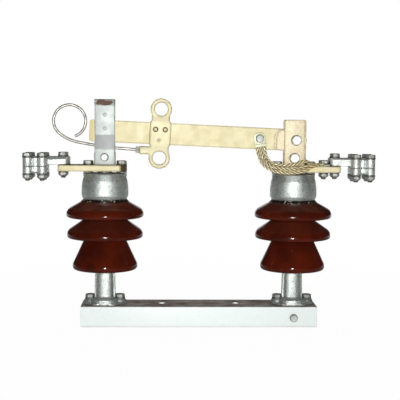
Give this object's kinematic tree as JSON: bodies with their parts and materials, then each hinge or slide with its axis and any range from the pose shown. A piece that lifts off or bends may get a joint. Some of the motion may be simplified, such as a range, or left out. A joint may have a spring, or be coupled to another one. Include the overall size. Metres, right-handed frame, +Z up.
{
  "type": "single-pole disconnect switch",
  "caption": "Hook-stick disconnect switch: two ribbed post insulators on a channel base, a spring jaw, a hinged contact blade with hook eyes, a flexible shunt and line clamps.",
  "frame": {"origin": "middle of the base's underside", "axes": "+X from the jaw to the hinge along the base, +Y to the back, +Z up; the shunt is at the front, on the -Y side"},
  "size_m": [0.6796, 0.1494, 0.4379],
  "materials": {
    "galvanised_steel": "hot-dip galvanised, dull spangle",
    "zinc_bolt": "zinc plated",
    "zinc_wire": "galvanised spring wire",
    "silver_casting": "silver paint over a sand casting",
    "clamp_casting": "sand cast, matt",
    "porcelain": "brown glaze, glossy",
    "cement": "rough, bitumen coated",
    "plated_brass": "pale plated, satin",
    "rivet_brass": "hammered flush",
    "tinned_copper": "tinned, pressed flat",
    "copper_rope": "stranded and tarnished"
  },
  "bodies": {
    "frame": {"base_channel": "galvanised_steel", "earth_bolt": "zinc_bolt", "foot_left": "silver_casting", "foot_right": "silver_casting", "foot_bolts_left": "zinc_bolt", "foot_bolts_right": "zinc_bolt", "insulator_left": "porcelain", "insulator_right": "porcelain", "cement_left": "cement", "cement_right": "cement", "cap_left": "silver_casting", "cap_right": "silver_casting", "cap_bolts_left": "zinc_bolt", "cap_bolts_right": "zinc_bolt", "terminal_bar_left": "plated_brass", "terminal_bar_right": "plated_brass", "jaw_block": "plated_brass", "jaw_strip_front": "galvanised_steel", "jaw_strip_back": "galvanised_steel", "jaw_bolt": "zinc_bolt", "hinge_block": "plated_brass", "hinge_plate_front": "plated_brass", "hinge_plate_back": "plated_brass", "hinge_lower_bolt": "zinc_bolt", "hinge_pivot_bolt": "zinc_bolt", "shunt_bar_lug": "tinned_copper", "shunt_bar_bolt": "zinc_bolt", "shunt_rope_low": "copper_rope", "shunt_rope_middle": "copper_rope", "shunt_rope_high": "copper_rope", "clamp_body_left": "clamp_casting", "clamp_body_right": "clamp_casting", "clamp_keeper_left": "clamp_casting", "clamp_keeper_right": "clamp_casting", "clamp_bolts_left": "zinc_bolt", "clamp_bolts_right": "zinc_bolt"},
    "swing_blade": {"blade": "plated_brass", "blade_cheek_front": "plated_brass", "blade_cheek_back": "plated_brass", "ring_lever": "plated_brass", "lever_rivets": "rivet_brass", "wire_horn": "zinc_wire", "horn_nut": "zinc_bolt", "shunt_blade_lug": "tinned_copper", "shunt_blade_bolt": "zinc_bolt"}
  },
  "joints": [
    {"name": "blade_hinge", "type": "hinge", "parent": "frame", "child": "swing_blade", "pos_m": [0.1855, 0, 0.3595], "axis": [0, 1, 0], "range_deg": [0, 90], "deforming": ["shunt_rope_low", "shunt_rope_middle", "shunt_rope_high"]}
  ]
}
